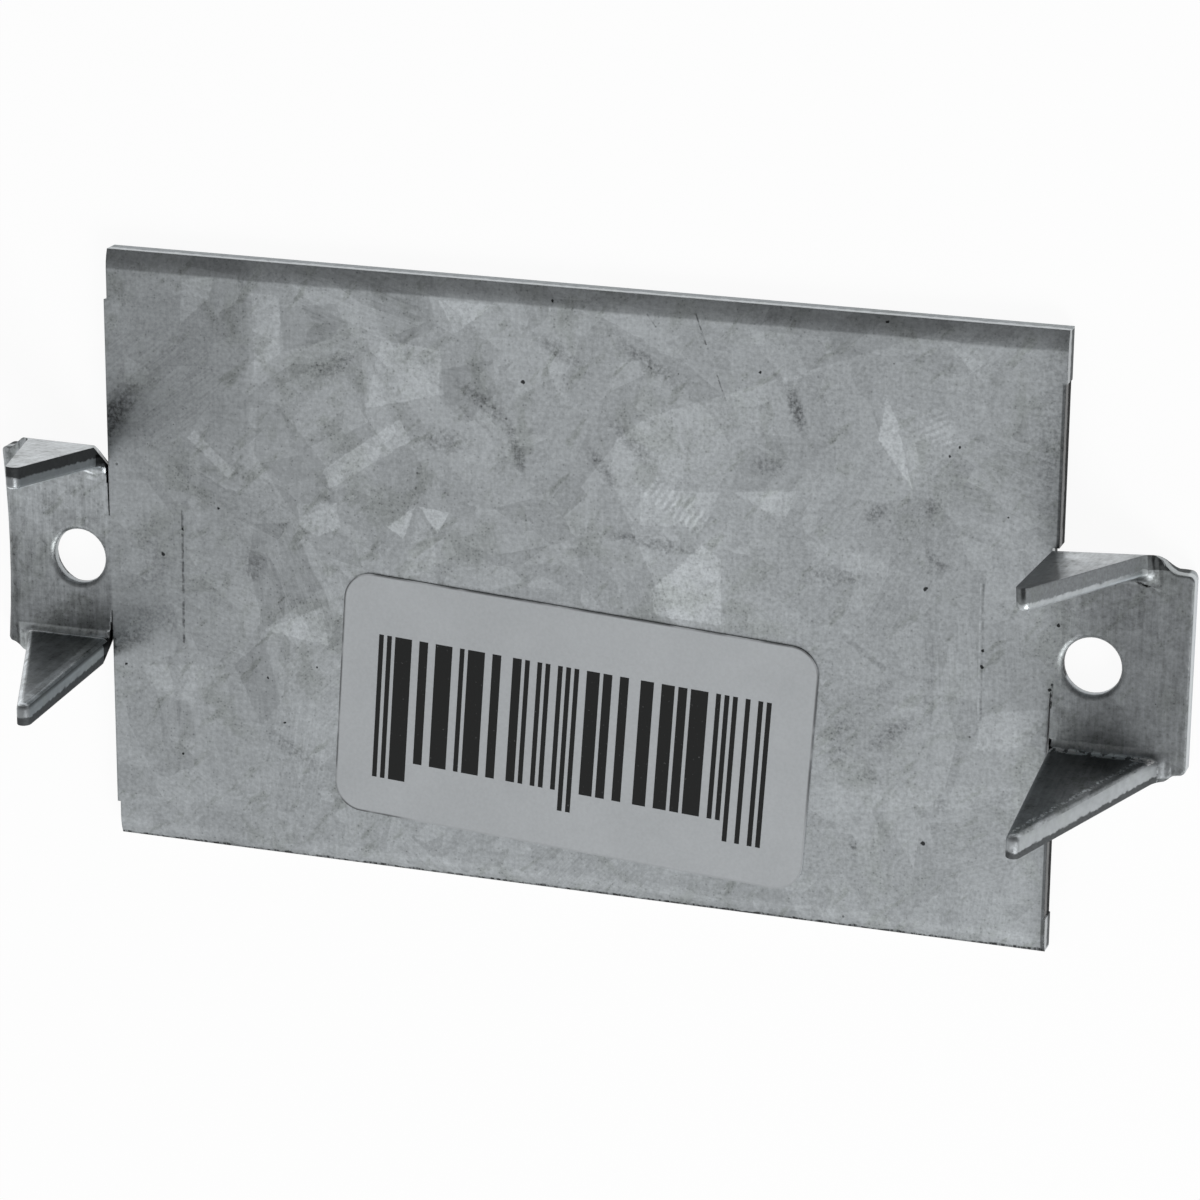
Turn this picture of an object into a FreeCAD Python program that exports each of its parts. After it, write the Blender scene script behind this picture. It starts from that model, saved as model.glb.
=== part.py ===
import FreeCAD, Part
import math
import os
from typing import NamedTuple

# A nail stop plate: one piece of stamped galvanised sheet with a nailing tab at each end.
# Each tab is pierced for a nail, and its upper and lower wings are folded up into prongs.
# X runs along the plate, Y across it, and Z from its flat back towards the prong side.
# The origin is the middle of the plate's flat back, so it lies with its prongs pointing up.


class ProngForm(NamedTuple):
    """What differs between the four prongs, in millimetres and degrees."""

    inset: float  # from the plate's end to the prong's inner edge
    neck: float  # from the tab's middle to the end of the slit that frees the prong
    base: float  # width at the fold
    splay: float  # angle it leans away from the opposite prong
    skew: float  # angle its fold turns away from the plate's length
    lean: float  # angle its inner edge leans away from the plate
    tear: float  # angle at which the shear tore off its heel's back corner, if it did


class TabForm(NamedTuple):
    """What differs between the two tabs, in millimetres."""

    reach: float  # from the plate's end to the tab's end
    hollow: float  # dip in the tab's end
    rolled_in_front: bool  # whether the tab's end is rolled on the prong side
    prong_gap: float  # between the prongs, at their roots
    prong_offset: float  # from the plate's middle to the middle of that gap
    ear_rise: float  # how far the upper ear stands past the tab's width
    ear_corner: float  # radius of the upper ear's corner
    upper: ProngForm
    lower: ProngForm


# Sheet and plate, in millimetres
SHEET = 1.37
PLATE_LENGTH = 60.3
PLATE_WIDTH = 38.1
ROLLOVER_WIDTH = 1.2
ROLLOVER_DEPTH = 0.25

# Steps that the cut-off left on the plate's ends
CORNER_CUT_SPAN = 32.8
CORNER_CUT_OFFSET = -0.5
LEFT_CORNER_INSET = 0.2
RIGHT_CORNER_LAND = 0.25

# Nailing tabs
TAB_WIDTH = 12.2
TAB_OFFSET = -0.85
TAB_CORNER = 0.4
TAB_END_ROLLOVER_WIDTH = 0.85
TAB_END_ROLLOVER_DEPTH = 0.35
RELIEF_SLIT = 0.16
RELIEF_SLIT_END = 0.06
NAIL_HOLE = 3.5
NAIL_HOLE_FROM_PLATE = 2.2
NAIL_HOLE_ROLLOVER = 0.2
NAIL_HOLE_LAND = 0.45
NAIL_HOLE_BREAKOUT = 0.35

# Prongs, where only the fall of a torn heel is in degrees
PRONG_HEIGHT = 11.7
PRONG_TIP_RADIUS = 0.45
BEND_RADIUS = 0.6
HEEL_RISE = 0.9
HEEL_TEAR_FALL = 36
ROOT_FILLET = 1.2
SHOULDER_LENGTH = 1.9

# The two tabs as they were stamped
LEFT_TAB = TabForm(
    reach=7.45,
    hollow=0.3,
    rolled_in_front=True,
    prong_gap=11.3,
    prong_offset=-0.4,
    ear_rise=0.6,
    ear_corner=0.5,
    upper=ProngForm(inset=0.5, neck=2.9, base=4.9, splay=8.0, skew=0.7, lean=0, tear=44),
    lower=ProngForm(inset=0.3, neck=3.3, base=5.6, splay=3.5, skew=0, lean=0, tear=27),
)
RIGHT_TAB = TabForm(
    reach=8.0,
    hollow=0,
    rolled_in_front=False,
    prong_gap=10.9,
    prong_offset=-0.6,
    ear_rise=0,
    ear_corner=0.4,
    upper=ProngForm(inset=-0.25, neck=3.7, base=5.55, splay=5.6, skew=3.4, lean=2.5, tear=0),
    lower=ProngForm(inset=-0.15, neck=1.9, base=6.55, splay=7.0, skew=0, lean=1.0, tear=0),
)

# Paper label stuck on the prong side
LABEL_WIDTH = 30.4
LABEL_HEIGHT = 15.6
LABEL_CORNER = 1.8
LABEL_THICKNESS = 0.1
LABEL_X = 0.4
LABEL_Y = -8.5
LABEL_TURN = -3.55

# Worked out from the sizes above
PLATE_END = PLATE_LENGTH / 2
PLATE_EDGE = PLATE_WIDTH / 2
PRONG_TOP = SHEET + PRONG_HEIGHT
BEND_OUTER = BEND_RADIUS + SHEET
BEND_REACH = math.sqrt(BEND_OUTER**2 - BEND_RADIUS**2)

# How far a cutting tool runs past the sheet, and how far joined stretches of it overlap
PAST = 2.0
OVERLAP = 1.0

ORIGIN = FreeCAD.Vector(0, 0, 0)
X_AXIS = FreeCAD.Vector(1, 0, 0)
Y_AXIS = FreeCAD.Vector(0, 1, 0)
Z_AXIS = FreeCAD.Vector(0, 0, 1)


def box(x0, x1, y0, y1, z0, z1):
    corner = FreeCAD.Vector(min(x0, x1), min(y0, y1), min(z0, z1))
    return Part.makeBox(abs(x1 - x0), abs(y1 - y0), abs(z1 - z0), corner)


def polyline(points):
    return [Part.makeLine(a, b) for a, b in zip(points, points[1:])]


def profile(edges):
    return Part.Face(Part.Wire(Part.sortEdges(edges)[0]))


def upright_edges(shape):
    return [edge for edge in shape.Edges if abs(edge.tangentAt(edge.FirstParameter).z) > 0.5]


def rollover_arc(start, end, across):
    """Arc that leaves the flat face at start, running across it, and drops to the cut edge at end."""
    step = end - start
    width = step.dot(across)
    drop = step - across * width
    depth = drop.Length
    radius = (width * width + depth * depth) / (2 * depth)
    half_turn = math.atan2(abs(width), radius - depth) / 2
    sink = drop * (radius * (1 - math.cos(half_turn)) / depth)
    middle = start + across * math.copysign(radius * math.sin(half_turn), width) + sink
    return Part.Arc(start, middle, end).toShape()


def plate_body():
    """Flat sheet with rolled long edges and the cut-off steps at its four corners."""
    back_low = FreeCAD.Vector(-PLATE_END, -PLATE_EDGE, 0)
    back_high = FreeCAD.Vector(-PLATE_END, PLATE_EDGE, 0)
    edge_low = back_low + Z_AXIS * (SHEET - ROLLOVER_DEPTH)
    edge_high = back_high + Z_AXIS * (SHEET - ROLLOVER_DEPTH)
    face_low = back_low + Z_AXIS * SHEET + Y_AXIS * ROLLOVER_WIDTH
    face_high = back_high + Z_AXIS * SHEET - Y_AXIS * ROLLOVER_WIDTH
    section = polyline([edge_low, back_low, back_high, edge_high])
    section.append(rollover_arc(face_high, edge_high, Y_AXIS))
    section.append(Part.makeLine(face_high, face_low))
    section.append(rollover_arc(face_low, edge_low, Y_AXIS))
    body = profile(section).extrude(X_AXIS * (PLATE_LENGTH + RIGHT_CORNER_LAND))
    cut_low = CORNER_CUT_OFFSET - CORNER_CUT_SPAN / 2
    cut_high = CORNER_CUT_OFFSET + CORNER_CUT_SPAN / 2
    top = SHEET + PAST
    left_out = -PLATE_END - PAST
    left_in = -PLATE_END + LEFT_CORNER_INSET
    return body.cut([
        box(PLATE_END, PLATE_END + PAST, cut_low, cut_high, -PAST, top),
        box(left_out, left_in, cut_high, PLATE_EDGE + PAST, -PAST, top),
        box(left_out, left_in, cut_low, -PLATE_EDGE - PAST, -PAST, top),
    ])


def wedge(near, near_end, far, mouth, end, top):
    """Upright cutter whose side tapers from near at the mouth to near_end at the end, open towards far."""
    corners = [(near, mouth), (near_end, end), (far, end), (far, mouth), (near, mouth)]
    outline = [FreeCAD.Vector(x, y, -PAST) for x, y in corners]
    return profile(polyline(outline)).extrude(Z_AXIS * (PAST + top))


def heel(form):
    """How far a prong's foot runs on past its inner edge, up to the slit."""
    return max(form.inset - RELIEF_SLIT, 0)


def bend_and_leg(form, end):
    """Sheet along X that starts to bend up at Y = 0 and then leans out by the splay angle."""
    turn = math.radians(90 - form.splay)
    across = FreeCAD.Vector(0, math.sin(turn), -math.cos(turn))
    half_across = FreeCAD.Vector(0, math.sin(turn / 2), -math.cos(turn / 2))
    leg = FreeCAD.Vector(0, math.cos(turn), math.sin(turn)) * (PRONG_TOP / math.sin(turn))
    centre = FreeCAD.Vector(0, 0, SHEET + BEND_RADIUS)
    start_in = centre - Z_AXIS * BEND_RADIUS
    start_out = centre - Z_AXIS * BEND_OUTER
    root_in = centre + across * BEND_RADIUS
    root_out = centre + across * BEND_OUTER
    flat = Y_AXIS * -OVERLAP
    section = polyline([root_in, root_in + leg, root_out + leg, root_out])
    section.append(Part.Arc(start_in, centre + half_across * BEND_RADIUS, root_in).toShape())
    section.append(Part.Arc(start_out, centre + half_across * BEND_OUTER, root_out).toShape())
    section.extend(polyline([start_in, start_in + flat, start_out + flat, start_out]))
    return profile(section).translated(X_AXIS * -heel(form)).extrude(X_AXIS * (end + heel(form)))


def prong_outline(form, end):
    """Side view of a prong: heel, inner edge, round tip, sloping outer edge and root fillet."""
    lean = math.radians(form.lean)
    radius = PRONG_TIP_RADIUS
    tip_rise = PRONG_HEIGHT - radius
    tip = FreeCAD.Vector(tip_rise * math.tan(lean) + radius / math.cos(lean), -PAST, PRONG_TOP - radius)
    inner_end = tip + FreeCAD.Vector(-math.cos(lean), 0, math.sin(lean)) * radius
    foot = FreeCAD.Vector(form.base, -PAST, SHEET)
    to_tip = tip - foot
    rise = math.atan2(to_tip.z, to_tip.x) - math.asin(radius / to_tip.Length)
    slope = FreeCAD.Vector(-math.cos(rise), 0, -math.sin(rise))
    outer_end = foot - slope * math.sqrt(to_tip.Length**2 - radius**2)
    reach = ROOT_FILLET * math.tan(math.acos(slope.x) / 2)
    centre = foot + X_AXIS * reach + Z_AXIS * ROOT_FILLET
    fillet_start = foot - slope * reach
    fillet_end = foot + X_AXIS * reach
    edges = polyline([
        inner_end,
        FreeCAD.Vector(HEEL_RISE * math.tan(lean), -PAST, SHEET + HEEL_RISE),
        FreeCAD.Vector(-heel(form), -PAST, SHEET),
        FreeCAD.Vector(-heel(form), -PAST, -PAST),
        FreeCAD.Vector(end, -PAST, -PAST),
        FreeCAD.Vector(end, -PAST, SHEET),
        fillet_end,
    ])
    fillet_middle = centre + (foot - centre).normalize() * ROOT_FILLET
    edges.append(Part.Arc(fillet_end, fillet_middle, fillet_start).toShape())
    edges.append(Part.makeLine(fillet_start, outer_end))
    edges.append(Part.Arc(outer_end, tip + Z_AXIS * radius, inner_end).toShape())
    return profile(edges).extrude(Y_AXIS * PLATE_WIDTH)


def shoulder_outline(form, end, ear_start, ear_run):
    """Plan view of the prong's foot: an S curve from the back of the bend to the tab's edge."""
    start = FreeCAD.Vector(form.base, BEND_OUTER, -PAST)
    pull = (ear_start.x - start.x) / 2
    ear_end = ear_start + ear_run * ((end - ear_start.x) / ear_run.x)
    curve = Part.BezierCurve()
    curve.setPoles([start, start + X_AXIS * pull, ear_start - ear_run * pull, ear_start])
    edges = polyline([
        ear_start,
        ear_end,
        FreeCAD.Vector(end, -PLATE_WIDTH, -PAST),
        FreeCAD.Vector(-PAST, -PLATE_WIDTH, -PAST),
        FreeCAD.Vector(-PAST, PLATE_WIDTH, -PAST),
        FreeCAD.Vector(form.base, PLATE_WIDTH, -PAST),
        start,
    ])
    return profile(edges + [curve.toShape()]).extrude(Z_AXIS * (PRONG_TOP + 2 * PAST))


def heel_tear(form):
    """Corner that the shear tore off the back of a heel, down from the foot of the prong's inner edge."""
    back = BEND_OUTER * math.cos(math.radians(form.splay))
    foot = FreeCAD.Vector(0, back, SHEET + HEEL_RISE)
    tear = math.radians(form.tear)
    fall = math.radians(HEEL_TEAR_FALL)
    outward = FreeCAD.Vector(0, math.cos(fall), -math.sin(fall))
    facing = outward * math.sin(tear) - X_AXIS * math.cos(tear)
    side = 2 * PAST
    corner = box(-side, side, -side, side, 0, PAST)
    corner.Placement = FreeCAD.Placement(foot, FreeCAD.Rotation(Z_AXIS, facing))
    return corner


def prong(form, bend, ear):
    """Upper prong of the right-hand tab, folded up at the height bend, whose shoulder runs out at ear."""
    inner = PLATE_END + form.inset
    middle = form.base / 2
    turn = FreeCAD.Rotation(Z_AXIS, form.skew)
    place = FreeCAD.Placement(FreeCAD.Vector(inner, bend, 0), turn, FreeCAD.Vector(middle, 0, 0))
    ear_start = place.inverse().multVec(ear)
    ear_run = turn.inverted().multVec(X_AXIS)
    end = ear_start.x + OVERLAP
    sheet = bend_and_leg(form, end)
    sheet = sheet.common(prong_outline(form, end))
    sheet = sheet.common(shoulder_outline(form, end, ear_start, ear_run))
    if form.tear:
        sheet = sheet.cut(heel_tear(form))
    sheet.Placement = place
    return sheet


def tab_flat(form, tab_end, high_bend, low_bend):
    """Flat part of a tab: the strip between its bends, and the ears that stand past its prongs."""
    ear_start = PLATE_END + max(wing.inset + wing.base for wing in (form.upper, form.lower))
    high = TAB_OFFSET + TAB_WIDTH / 2 + form.ear_rise
    low = TAB_OFFSET - TAB_WIDTH / 2
    half_overlap = OVERLAP / 2
    strip = box(PLATE_END - PAST, ear_start, low_bend + half_overlap, high_bend - half_overlap, 0, SHEET)
    ears = box(ear_start, tab_end, low, high, 0, SHEET)
    return strip.fuse(ears)


def corner_trim(tab_end, ear, radius):
    """What rounds off the corner of an ear."""
    x, y = tab_end - radius, ear - radius
    corner = box(x, tab_end + PAST, y, ear + PAST, -PAST, SHEET + PAST)
    return corner.cut(Part.makeCylinder(radius, SHEET + 4 * PAST, FreeCAD.Vector(x, y, -2 * PAST)))


def end_trim(form, tab_end):
    """What the cut-off takes from a tab's end: a rolled edge, along a shallow hollow where it has one."""
    face_level = SHEET if form.rolled_in_front else 0
    inward = -1 if form.rolled_in_front else 1
    end = tab_end - form.hollow
    start = FreeCAD.Vector(end - TAB_END_ROLLOVER_WIDTH, TAB_OFFSET, face_level)
    edge = FreeCAD.Vector(end, TAB_OFFSET, face_level + inward * TAB_END_ROLLOVER_DEPTH)
    far_level = face_level + inward * (SHEET + PAST)
    outside = polyline([
        edge,
        FreeCAD.Vector(end, TAB_OFFSET, far_level),
        FreeCAD.Vector(tab_end + PAST, TAB_OFFSET, far_level),
        FreeCAD.Vector(tab_end + PAST, TAB_OFFSET, face_level),
        start,
    ])
    face = profile(outside + [rollover_arc(start, edge, X_AXIS)])
    if form.hollow == 0:
        return face.translated(Y_AXIS * -TAB_WIDTH).extrude(Y_AXIS * (2 * TAB_WIDTH))
    half_span = TAB_WIDTH / 2 + form.ear_rise
    radius = (half_span**2 + form.hollow**2) / (2 * form.hollow)
    centre = FreeCAD.Vector(end + radius, TAB_OFFSET, 0)
    sweep = 2 * math.degrees(math.asin(half_span / radius))
    face.rotate(centre, Z_AXIS, -sweep)
    return face.revolve(centre, Z_AXIS, 2 * sweep)


def nail_hole():
    """Punched hole: drawn in at the front, then a straight land, then broken out wider to the back."""
    radius = NAIL_HOLE / 2
    flare = NAIL_HOLE_ROLLOVER
    rim = FreeCAD.Vector(radius + flare, 0, SHEET)
    land_top = FreeCAD.Vector(radius, 0, SHEET - flare)
    land_foot = land_top - Z_AXIS * NAIL_HOLE_LAND
    back = FreeCAD.Vector(radius + NAIL_HOLE_BREAKOUT, 0, 0)
    section = polyline([
        rim,
        land_top,
        land_foot,
        back,
        back - Z_AXIS * PAST,
        FreeCAD.Vector(0, 0, -PAST),
        FreeCAD.Vector(0, 0, SHEET + PAST),
        rim + Z_AXIS * PAST,
        rim,
    ])
    punch = profile(section).revolve(ORIGIN, Z_AXIS, 360)
    return punch.translated(FreeCAD.Vector(PLATE_END + NAIL_HOLE_FROM_PLATE, TAB_OFFSET, 0))


def tab(form):
    """Right-hand tab with its two prongs and nail hole, and the slits that free the prongs."""
    tab_end = PLATE_END + form.reach
    half_gap = form.prong_gap / 2 - BEND_RADIUS
    high_ear = TAB_WIDTH / 2 + TAB_OFFSET + form.ear_rise
    low_ear = TAB_WIDTH / 2 - TAB_OFFSET
    sides = ((1, form.upper, high_ear, form.ear_corner), (-1, form.lower, low_ear, TAB_CORNER))
    sheet = tab_flat(form, tab_end, form.prong_offset + half_gap, form.prong_offset - half_gap)
    cuts = [
        nail_hole(),
        end_trim(form, tab_end),
        corner_trim(tab_end, high_ear, form.ear_corner),
        corner_trim(tab_end, low_ear, TAB_CORNER).mirror(ORIGIN, Y_AXIS),
    ]
    slits = []
    for side, prong_form, ear, corner in sides:
        bend = half_gap + side * form.prong_offset
        shoulder_end = min(prong_form.inset + prong_form.base + SHOULDER_LENGTH, form.reach - corner)
        wing = prong(prong_form, bend, FreeCAD.Vector(PLATE_END + shoulder_end, ear, -PAST))
        near = PLATE_END + prong_form.inset - heel(prong_form)
        near_end = min(near, PLATE_END + RELIEF_SLIT_END)
        slit_end = TAB_OFFSET + side * prong_form.neck
        skew_drop = math.sin(math.radians(prong_form.skew)) * prong_form.base / 2
        slit_top = side * (bend - skew_drop + BEND_REACH + RELIEF_SLIT)
        sheet = sheet.fuse(wing if side > 0 else wing.mirror(ORIGIN, Y_AXIS))
        cuts.append(wedge(near, near_end, PLATE_END - PAST, slit_top, slit_end, SHEET))
        far, far_end = near - RELIEF_SLIT, near_end - RELIEF_SLIT_END
        slits.append(wedge(far, far_end, PLATE_END + PAST, slit_top, slit_end, SHEET + PAST))
    return sheet.cut(cuts), slits


def stop_plate():
    """The whole sheet: the plate with one tab on its right and one mirrored on to its left."""
    right, right_slits = tab(RIGHT_TAB)
    left, left_slits = tab(LEFT_TAB)
    plate = plate_body().cut(right_slits + [slit.mirror(ORIGIN, X_AXIS) for slit in left_slits])
    return plate.fuse([right, left.mirror(ORIGIN, X_AXIS)]).removeSplitter()


def label():
    """Rounded paper sticker lying face to face on the prong side."""
    half_width = LABEL_WIDTH / 2
    half_height = LABEL_HEIGHT / 2
    flat = box(-half_width, half_width, -half_height, half_height, 0, LABEL_THICKNESS)
    sticker = flat.makeFillet(LABEL_CORNER, upright_edges(flat))
    sticker.rotate(ORIGIN, Z_AXIS, LABEL_TURN)
    return sticker.translated(FreeCAD.Vector(LABEL_X, LABEL_Y, SHEET))


os.makedirs("parts", exist_ok=True)
for name, shape in (("stop_plate", stop_plate()), ("label", label())):
    shape.exportStep("parts/" + name + ".step")
    print(name, "solids", len(shape.Solids), "valid", shape.isValid(), "volume", round(shape.Volume, 2))
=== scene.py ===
import math
import random

import bmesh
import bpy
from mathutils import Matrix, Vector


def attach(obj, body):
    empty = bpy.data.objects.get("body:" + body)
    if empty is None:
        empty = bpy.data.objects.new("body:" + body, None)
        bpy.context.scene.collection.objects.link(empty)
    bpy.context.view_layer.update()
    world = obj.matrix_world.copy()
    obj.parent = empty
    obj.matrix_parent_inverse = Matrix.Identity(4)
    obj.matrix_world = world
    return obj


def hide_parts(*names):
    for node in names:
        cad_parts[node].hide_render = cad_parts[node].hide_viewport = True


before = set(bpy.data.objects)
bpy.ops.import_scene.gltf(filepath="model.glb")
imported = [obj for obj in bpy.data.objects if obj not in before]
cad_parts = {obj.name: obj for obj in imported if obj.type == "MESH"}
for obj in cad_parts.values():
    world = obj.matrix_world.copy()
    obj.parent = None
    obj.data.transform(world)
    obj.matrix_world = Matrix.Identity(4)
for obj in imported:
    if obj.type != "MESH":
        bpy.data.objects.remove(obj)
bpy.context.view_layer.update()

MM = 0.001

# Sizes shared with the solids, in millimetres and degrees
SHEET = 1.37
PLATE_END = 30.15
PLATE_EDGE = 19.05
BEND_RADIUS = 0.6
TAB_Y = -0.85
NAIL_HOLE_X = 32.35
LABEL_WIDTH = 30.4
LABEL_HEIGHT = 15.6
LABEL_CORNER = 1.8
LABEL_THICKNESS = 0.1
LABEL_X = 0.4
LABEL_Y = -8.5
LABEL_TURN = -3.55

# Each prong: side of X, side of Y, bend line, inset, base, splay and skew
PRONGS = {
    "upper_left": (-1, 1, 4.65, 0.5, 4.9, 8.0, 0.7),
    "lower_left": (-1, -1, 5.45, 0.3, 5.6, 3.5, 0.0),
    "upper_right": (1, 1, 4.25, -0.25, 5.55, 5.6, 3.4),
    "lower_right": (1, -1, 5.45, -0.15, 6.55, 7.0, 0.0),
}
# The line between the upper and the lower prongs, and the height above which the sheet is a prong's
MIDLINE_Y = -0.5
PRONG_START = SHEET + 0.3

# How far the right end's corners are worn back, in mm, and where they begin
CORNER_WEAR = 0.18
CORNER_X = PLATE_END + 0.2
CORNER_Y = 15.0

# How far the shear's roll reaches in from the front edges, in mm
ROLL = {
    "upper_left": 0.25, "lower_left": 0.40, "upper_right": 0.35, "lower_right": 0.40,
    "tab_left": 0.15, "tab_right": 0.15,
}
ROLL_SEGMENTS = 5
# Rolled on the tabs are the edges past this X, and those in a ring at the nail holes' mouths, in mm
TAB_ROLL_X = 36.5
HOLE_RING = 2.0
HOLE_RING_SLACK = 0.35
# How far a point may lie off the flat front, or off a prong's inner side, and still count as on it
FLAT_SLACK = 0.004
PRONG_SLACK = 0.02
# The angles in degrees from which an edge counts as cut, and from which it is shaded as sharp
CUT_ANGLE = 35
SHARP_ANGLE = 32

# Where a prong's cut edges turn from broken to rubbed, from 0 at the outer face to 1 at the inner one
SHEAR_LINE = {"upper_left": 0.50, "lower_left": 0.36, "upper_right": 0.66, "lower_right": 0.28}
# The tones of the broken band and of the rubbed one; set prong by prong, they also paint the light and
# shade on each prong's edges
BROKEN_TONE_AND_PAINTED_LIGHT = {"upper_left": 0.16, "lower_left": 0.30, "upper_right": 0.66, "lower_right": 0.32}
RUBBED_TONE_AND_PAINTED_LIGHT = {"upper_left": 0.60, "lower_left": 0.80, "upper_right": 1.10, "lower_right": 1.00}
# The same for the flat sheet's edges, from 0 at its back to 1 at its front
FLAT_SHEAR_LINE = 0.5
FLAT_BROKEN_TONE = 0.30
FLAT_RUBBED_TONE = 0.95
# The line by which the lower right prong's inner face is painted lighter, with a painted highlight beside
# the roll: a point of it, and how far it leans in for each mm up
HIGHLIGHT_LINE_X = 35.88
HIGHLIGHT_LINE_Z = 1.84
HIGHLIGHT_LINE_LEAN = 0.48
# The lit part of the upper right prong: where it begins at a Z of 0, and its lean out for each mm up
LIT_X = 29.55
LIT_LEAN = 0.256
# The X from which the painted highlight along the lower left prong's rounded edge is measured
LOWER_LEFT_HIGHLIGHT_X = -PLATE_END - 0.3
# Where the right tab's end and the left tab's rolled end begin
RIGHT_TAB_END = 37.6
LEFT_TAB_END = -36.45
# How much lighter the roll along a prong's edge is painted, as a painted highlight
ROLL_HIGHLIGHT = {"upper_left": 0.1, "lower_left": 1.1, "upper_right": 0.3, "lower_right": 0.0}
# How much lighter the two faces of a prong are painted than the plate, as painted light and shade
INNER_PAINTED_LIGHT = {"upper_left": 0.0, "lower_left": 0.35, "upper_right": 0.0, "lower_right": -0.25}
OUTER_PAINTED_LIGHT = {"upper_left": 0.24, "lower_left": 0.15, "upper_right": 0.0, "lower_right": 0.15}

# The brightness of the bare steel, its tint, and its tint under dust
STEEL_LEVEL = 0.42
STEEL_TINT = (0.945, 1.0, 1.035)
DUSTY_TINT = (0.935, 1.0, 0.995)
# The tints of the label's paper and of its ink
PAPER_TINT = (0.955, 1.0, 1.035)
INK_TINT = (0.95, 1.0, 1.0)

# How strongly the crystals and the soft spots below show; a few spots are painted light and shade
FACET_GAIN = 1.5
SPOT_GAIN = 1.5
# Marks on the plate's front, in millimetres: how much lighter, then the corners of a crystal face
FACETS = (
    (0.17, ((-15.8, 6.4), (-15.3, 5.2), (-10.0, 8.8), (-10.7, 10.1))),
    (0.24, ((-11.6, 3.2), (-9.7, 4.7), (-10.5, 2.5))),
    (0.24, ((-9.5, 4.7), (-7.5, 4.5), (-8.3, 3.1))),
    (0.10, ((-9.6, 4.5), (-8.5, 2.9), (-8.3, -0.2), (-10.6, -0.4))),
    (0.12, ((-12.9, 10.5), (-7.8, 11.9), (-8.1, 14.6), (-11.9, 14.9))),
    (0.16, ((-8.2, 17.7), (-4.6, 17.7), (-7.1, 15.7))),
    (0.26, ((19.6, 14.2), (19.2, 11.6), (21.3, 8.8), (20.3, 12.8))),
    (0.08, ((19.8, 14.1), (23.7, 12.9), (23.5, 11.1), (21.4, 9.5))),
    (0.12, ((4.6, 7.2), (9.7, 7.5), (8.3, 5.2), (4.6, 4.9))),
    (0.16, ((10.3, 7.6), (14.3, 8.0), (13.7, 6.4), (12.8, 6.4))),
    (0.20, ((8.5, 4.1), (9.7, 3.4), (9.8, -0.8), (5.6, -0.6), (5.4, 1.0))),
    (-0.11, ((-20.4, 2.5), (-17.9, 2.9), (-15.9, -1.2), (-19.8, -4.3), (-20.8, -0.2))),
    (0.14, ((-19.8, -4.3), (-15.9, -2.4), (-15.5, -4.9))),
    (-0.11, ((-21.9, -6.8), (-19.8, -4.8), (-18.8, -9.0), (-20.1, -10.7))),
    (0.12, ((2.7, 7.7), (3.0, 10.0), (4.9, 11.6), (1.5, 10.3))),
    (0.09, ((10.9, 17.5), (13.5, 14.5), (16.4, 15.8), (16.1, 17.5))),
    (0.10, ((23.0, 17.8), (26.0, 16.5), (25.4, 15.5))),
    (0.06, ((23.6, 17.5), (26.0, 15.4), (25.2, 13.1), (22.9, 13.0))),
    (0.06, ((22.9, 13.0), (25.2, 13.1), (23.3, 10.4), (21.5, 8.8), (20.8, 11.1))),
    (0.07, ((-1.6, 15.1), (-0.4, 11.9), (0.2, 12.2), (-0.8, 14.8))),
    (0.08, ((14.4, 5.1), (17.2, 3.4), (21.5, 3.5), (18.4, 4.7))),
    (-0.09, ((10.9, 10.1), (12.2, 11.3), (16.1, 11.2), (14.0, 8.0), (10.3, 7.7))),
    (-0.11, ((-18.4, 16.4), (-14.8, 16.9), (-14.3, 15.8), (-15.1, 14.7), (-18.5, 13.5))),
    (-0.10, ((-8.1, 13.4), (-4.7, 14.3), (-4.5, 12.2), (-6.5, 10.2), (-8.2, 11.7))),
    (0.12, ((-28.8, 12.5), (-27.2, 11.7), (-27.4, 10.7), (-28.9, 10.6))),
    (0.15, ((-24.9, 17.6), (-22.8, 17.9), (-23.1, 16.6), (-25.1, 14.7))),
    (0.10, ((-20.3, 17.1), (-18.5, 17.1), (-18.2, 13.8), (-20.2, 11.8))),
    (-0.10, ((-20.0, 10.2), (-18.7, 10.3), (-15.5, 6.6), (-14.9, 4.4), (-17.5, 3.1), (-20.3, 7.0))),
    (0.14, ((-17.5, 4.1), (-14.9, 4.4), (-14.6, 2.8), (-16.2, 2.1), (-17.3, 2.7))),
    (-0.09, ((-12.6, 18.4), (-8.8, 17.9), (-8.2, 16.1), (-10.9, 14.5), (-12.0, 15.4))),
    (0.13, (
        (25.9, -4.7), (27.0, -4.2), (29.6, -3.8), (29.5, -4.9), (28.9, -5.9), (27.7, -6.6), (25.6, -6.8),
    )),
    (0.06, ((16.9, -10.1), (28.4, -8.7), (28.3, -10.1), (17.0, -11.8))),
    (0.20, ((-24.3, 8.1), (-21.6, 5.8), (-22.0, 5.2), (-24.8, 7.6))),
    (0.09, ((-28.1, -7.5), (-23.9, -7.0), (-24.7, -10.0), (-27.7, -8.9))),
    (-0.08, ((-27.2, -9.5), (-25.0, -9.6), (-24.6, -12.0), (-26.9, -12.2))),
)
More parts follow.
